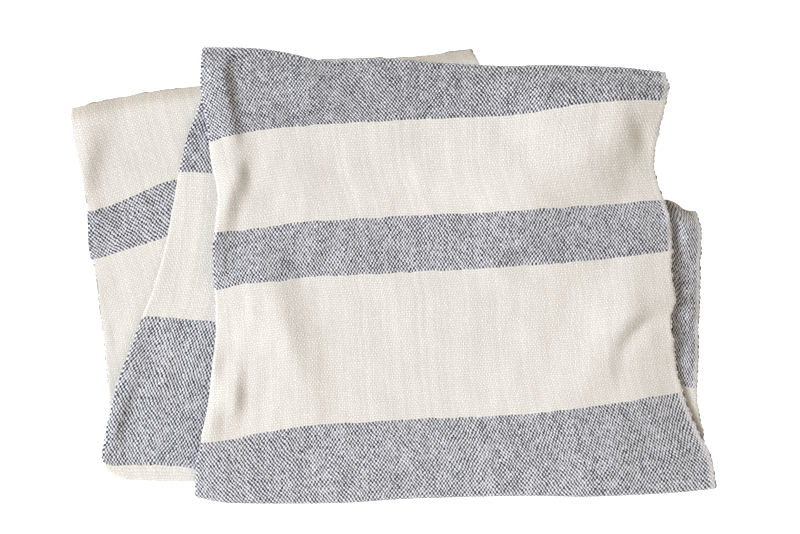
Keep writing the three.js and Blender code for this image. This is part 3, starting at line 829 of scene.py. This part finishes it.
def cloth_material():
    """The weave, worked out from the place on the flat cloth. The shifts only keep one noise from another."""
    n = Nodes("handwoven_cotton")
    flat = n.add("ShaderNodeUVMap", uv_map="flat_cloth").outputs["UV"]
    split = n.add("ShaderNodeSeparateXYZ")
    n.link(flat, split.inputs[0])
    width, length = split.outputs[0], split.outputs[1]

    # Threads that wander: p counts the lengthwise threads and q the crosswise ones
    wander_a = n.math("SUBTRACT", n.noise(flat, 60.0, 3.0, 0.6), 0.5)
    wander_b = n.math("SUBTRACT", n.noise(n.shifted(flat, 3.1, 1.7), 52.0, 3.0, 0.6), 0.5)
    knobs_a = n.noise(n.shifted(flat, 2.2, 6.1), 330.0, 1.0)
    knobs_b = n.noise(n.shifted(flat, 8.5, 3.9), 330.0, 1.0)
    stray_a = n.math("MULTIPLY_ADD", knobs_a, KNOBBLE, -KNOBBLE / 2)
    stray_b = n.math("MULTIPLY_ADD", knobs_b, KNOBBLE, -KNOBBLE / 2)
    stray_a = n.math("MULTIPLY_ADD", wander_a, WARP_STRAY, stray_a)
    stray_b = n.math("MULTIPLY_ADD", wander_b, WEFT_STRAY, stray_b)
    p = n.math("MULTIPLY_ADD", width, 1 / (WARP_PITCH * MM), stray_a)
    q = n.math("MULTIPLY_ADD", length, 1 / (WEFT_PITCH * MM), stray_b)
    warp_thread, weft_thread = n.math("FLOOR", p), n.math("FLOOR", q)
    p_turn, q_turn = n.math("MULTIPLY", p, pi), n.math("MULTIPLY", q, pi)
    across = n.math("MULTIPLY", n.math("SINE", p_turn), n.math("SINE", q_turn))
    corners = n.math("MULTIPLY", n.math("COSINE", p_turn), n.math("COSINE", q_turn))

    # Twisted yarn: floats run together along one diagonal, and change size from place to place
    lean = n.math("MULTIPLY_ADD", n.noise(n.shifted(flat, 4.4, 2.2), 11.0, 1.0), 1.3, -0.75)
    turn = n.math("SUBTRACT", n.noise(n.shifted(flat, 7.3, 5.9), 85.0, 2.0), 0.5)
    twist = n.math("MULTIPLY_ADD", turn, 0.6, lean)
    each = n.random(n.math("MULTIPLY_ADD", warp_thread, 1.37, n.math("MULTIPLY", weft_thread, 17.71)))
    patches = n.math("SUBTRACT", n.noise(n.stretched(flat, 62.0, 26.0), 1.0, 3.0, 0.55), 0.5)
    bias = n.math("MULTIPLY_ADD", patches, 0.45, n.math("MULTIPLY_ADD", each, 0.5, -0.25))
    from_wide = n.math("ABSOLUTE", n.math("SUBTRACT", length, WIDE_STRIPE))
    bias = n.math("ADD", bias, n.step(from_wide, *WIDE_HALF, -0.03, 0.04))
    crossing = n.math("MULTIPLY_ADD", corners, twist, across)
    warp_over = n.step(n.math("ADD", crossing, bias), -0.16, 0.16)
    height = n.math("POWER", n.math("ABSOLUTE", across), 0.5)
    hole = n.step(n.math("ABSOLUTE", corners), 0.55, 1.0)

    thread_place = n.math("MULTIPLY", n.math("ADD", weft_thread, 0.5), WEFT_PITCH * MM)
    dark = in_stripes(n, thread_place)
    selvage = n.math("MINIMUM", width, n.math("SUBTRACT", FLAT_WIDTH * MM, width))
    margin = n.step(selvage, *SELVAGE_BAND, 0.3, 1.0)
    weft_shade = n.step(n.random(weft_thread), 0.0, 1.0, 0.75, 1.25)
    blue_shade = n.math("MULTIPLY", weft_shade, n.step(each, 0.0, 1.0, 0.6, 1.5))
    blue = n.mix(1.0, BLUE_GREY, blue_shade, "MULTIPLY")
    weft_colour = n.mix(n.math("MULTIPLY", dark, margin), CREAM_WEFT, blue)
    warp_colour = n.mix(dark, CREAM_WARP, COOL_WARP)
    colour = n.mix(warp_over, weft_colour, warp_colour)
    warp_shade = n.step(n.random(warp_thread), 0.0, 1.0, 0.96, 1.03)
    # painted shade where each thread dips towards the next crossing, times a random tone for each crossing
    low = n.math("MULTIPLY", n.step(height, 0.0, 0.8, 0.93, 1.0), n.step(each, 0.0, 1.0, 0.94, 1.03))
    # painted shade in the holes where the threads cross, stronger at some crossings than at others
    pit_shade = n.mix(n.math("MULTIPLY", hole, n.step(each, 0.2, 1.0, 0.1, 0.55)), WHITE, PIT_SHADE)
    blotch = n.step(n.noise(n.shifted(flat, 1.3, 9.1), 16.0, 3.0), 0.3, 0.7, 0.98, 1.01)
    streak = n.step(patches, -0.25, 0.25, 0.985, 1.012)
    # the threads' own tone, streaks and blotches, with the painted shade of the weave's hollows
    shade = n.math("MULTIPLY", n.math("MULTIPLY", warp_shade, low), n.math("MULTIPLY", streak, blotch))
    to_hem = n.math("MINIMUM", length, n.math("SUBTRACT", FLAT_LENGTH * MM, length))
    # painted shade along both hemmed ends
    hem_shaded = n.mix(1.0, colour, HEM_SHADE, "MULTIPLY")
    colour = n.mix(n.step(to_hem, *HEM_BAND, 1.0, 0.0), colour, hem_shaded)
    stitch = n.step(n.random(warp_thread), 0.0, 0.8, 0.15, 0.5)
    stitch = n.math("MULTIPLY", n.step(to_hem, *STITCH_BAND, 1.0, 0.0), stitch)
    colour = n.mix(stitch, colour, BLUE_GREY)

    # Short blue-grey floats along the first panel's left fold, where the weft passes over several threads
    from_fold = n.math("SUBTRACT", width, n.math("MULTIPLY_ADD", length, *FLOAT_LINE))
    beside_fold = n.step(n.math("ABSOLUTE", from_fold), *FLOAT_BAND, 0.55, 0.0)
    some = n.step(n.random(weft_thread), 0.35, 0.5)
    on_first = n.math("MULTIPLY", n.step(length, *FLOATS_START), n.step(length, *FLOATS_END, 1.0, 0.0))
    floats = n.math("MULTIPLY", n.math("MULTIPLY", beside_fold, some), on_first)
    colour = n.mix(floats, colour, BLUE_GREY)
    # painted shade of the holes and hollows, and the threads' own tone, laid over the colour
    colour = n.mix(1.0, n.mix(1.0, colour, pit_shade, "MULTIPLY"), shade, "MULTIPLY")

    fibre = n.noise(flat, 2600.0, 2.0)
    bulge = n.math("MULTIPLY", n.step(warp_over, 0.0, 1.0, 0.45, 1.0), n.step(each, 0.0, 1.0, 0.7, 1.2))
    relief = n.math("MULTIPLY_ADD", height, bulge, n.math("MULTIPLY", fibre, 0.25))
    bump = n.add("ShaderNodeBump")
    bump.inputs["Strength"].default_value = 0.6
    bump.inputs["Distance"].default_value = 0.0006
    n.link(relief, bump.inputs["Height"])

    shader = n.add("ShaderNodeBsdfPrincipled")
    shader.inputs["Roughness"].default_value = 0.92
    shader.inputs["Specular IOR Level"].default_value = 0.2
    shader.inputs["Sheen Weight"].default_value = 0.12
    shader.inputs["Sheen Roughness"].default_value = 0.6
    n.link(colour, shader.inputs["Base Color"])
    n.link(bump.outputs["Normal"], shader.inputs["Normal"])
    output = n.add("ShaderNodeOutputMaterial")
    n.link(shader.outputs[0], output.inputs[0])
    return n.material


def in_stripes(n, place):
    """1 where a place along the flat cloth, in metres, is in a blue-grey stripe."""
    dark = 0.0
    for start, end in zip(STRIPES["start"], STRIPES["end"]):
        after, before = n.math("GREATER_THAN", place, start * MM), n.math("LESS_THAN", place, end * MM)
        dark = n.math("ADD", dark, n.math("MULTIPLY", after, before))
    return dark


def yarn_material():
    """The weft yarn of the loops. Each loop has one random mark, which chooses its colour."""
    n = Nodes("selvage_yarn")
    mark = n.add("ShaderNodeUVMap", uv_map="flat_cloth").outputs["UV"]
    split = n.add("ShaderNodeSeparateXYZ")
    n.link(mark, split.inputs[0])
    pick, length = split.outputs[0], split.outputs[1]
    # The blue-grey weft is carried along the selvage past the cream stripes, so some loops there are of it
    dark = n.math("GREATER_THAN", pick, n.mix_value(in_stripes(n, length), 0.70, 0.45))
    place = n.add("ShaderNodeTexCoord").outputs["Object"]
    fibre = n.noise(place, 2400.0, 2.0)
    # the cream loops carry painted light, being paler and cooler than the cloth's weft
    colour = n.mix(dark, LOOP_CREAM_LIT, BLUE_GREY)
    colour = n.mix(1.0, colour, n.step(fibre, 0.3, 0.7, 0.8, 1.05), "MULTIPLY")
    bump = n.add("ShaderNodeBump")
    bump.inputs["Strength"].default_value = 0.5
    bump.inputs["Distance"].default_value = 0.0003
    n.link(fibre, bump.inputs["Height"])
    shader = n.add("ShaderNodeBsdfPrincipled")
    shader.inputs["Roughness"].default_value = 0.9
    shader.inputs["Sheen Weight"].default_value = 0.12
    n.link(colour, shader.inputs["Base Color"])
    n.link(bump.outputs["Normal"], shader.inputs["Normal"])
    output = n.add("ShaderNodeOutputMaterial")
    n.link(shader.outputs[0], output.inputs[0])
    return n.material


# The picture, in metres. Its middle lies a little off the origin.
VIEW_WIDTH = 0.72  # how much the picture shows from left to right
VIEW_CENTRE = (0.0040, 0.0068)
TOWEL_LEVEL = 0.02  # the height at which it shows that much
LENS = 100.0
SENSOR = 36.0


def make_camera():
    """A camera that looks straight down."""
    data = bpy.data.cameras.new("camera")
    data.lens = LENS
    data.sensor_width = SENSOR
    camera = bpy.data.objects.new("camera", data)
    camera.location = (*VIEW_CENTRE, VIEW_WIDTH * LENS / SENSOR + TOWEL_LEVEL)
    bpy.context.scene.collection.objects.link(camera)
    bpy.context.scene.camera = camera


FLOOR_HALF = 12.0  # half of the floor's side
PAPER = (0.92, 0.92, 0.92, 1)
PAPER_GLOW = 0.9  # keeps the floor close to pure white


def make_floor():
    """A white floor, flat and level."""
    mesh = bpy.data.meshes.new("floor")
    corners = [(FLOOR_HALF * x, FLOOR_HALF * y, 0) for x, y in ((-1, -1), (1, -1), (1, 1), (-1, 1))]
    mesh.from_pydata(corners, [], [(0, 1, 2, 3)])
    floor = bpy.data.objects.new("floor", mesh)
    bpy.context.scene.collection.objects.link(floor)
    material = bpy.data.materials.new("white_paper")
    material.use_nodes = True
    shader = material.node_tree.nodes["Principled BSDF"]
    shader.inputs["Base Color"].default_value = PAPER
    shader.inputs["Roughness"].default_value = 0.9
    shader.inputs["Emission Color"].default_value = WHITE
    shader.inputs["Emission Strength"].default_value = PAPER_GLOW
    mesh.materials.append(material)


KEY_PLACE = (-7.83, 1.1, 7.64)  # the soft light that stands far to the left
KEY_SIZE = 4.4
KEY_POWER = 1290.0
KEY_COLOUR = (0.985, 1.068, 1.2)
FILL_PLACE = (0.4, -1.35, 1.1)  # a weak light in front
FILL_SIZE = 1.0
FILL_POWER = 9.1
FILL_COLOUR = (0.96, 1, 1.08)
SKY = (1.0, 0.79, 0.54, 1)  # warm, so that the shade between the creases is warm
SKY_STRENGTH = 0.29


def add_light(name, place, size, power, colour):
    """A round soft light that points at the origin."""
    data = bpy.data.lights.new(name, "AREA")
    data.shape = "DISK"
    data.size = size
    data.energy = power
    data.color = colour
    light = bpy.data.objects.new(name, data)
    light.location = place
    light.rotation_euler = (-light.location).to_track_quat("-Z", "Y").to_euler()
    bpy.context.scene.collection.objects.link(light)


def make_light():
    """The sky and the two lights."""
    world = bpy.data.worlds.new("studio")
    world.use_nodes = True
    world.node_tree.nodes["Background"].inputs["Color"].default_value = SKY
    world.node_tree.nodes["Background"].inputs["Strength"].default_value = SKY_STRENGTH
    bpy.context.scene.world = world
    add_light("key", KEY_PLACE, KEY_SIZE, KEY_POWER, KEY_COLOUR)
    add_light("fill", FILL_PLACE, FILL_SIZE, FILL_POWER, FILL_COLOUR)
    bpy.context.scene.view_settings.view_transform = "Standard"


make_camera()
towel, loops = make_towel()
towel.data.materials.append(cloth_material())
loops.data.materials.append(yarn_material())
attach(towel, "root")
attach(loops, "root")
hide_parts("towel")
make_floor()
make_light()
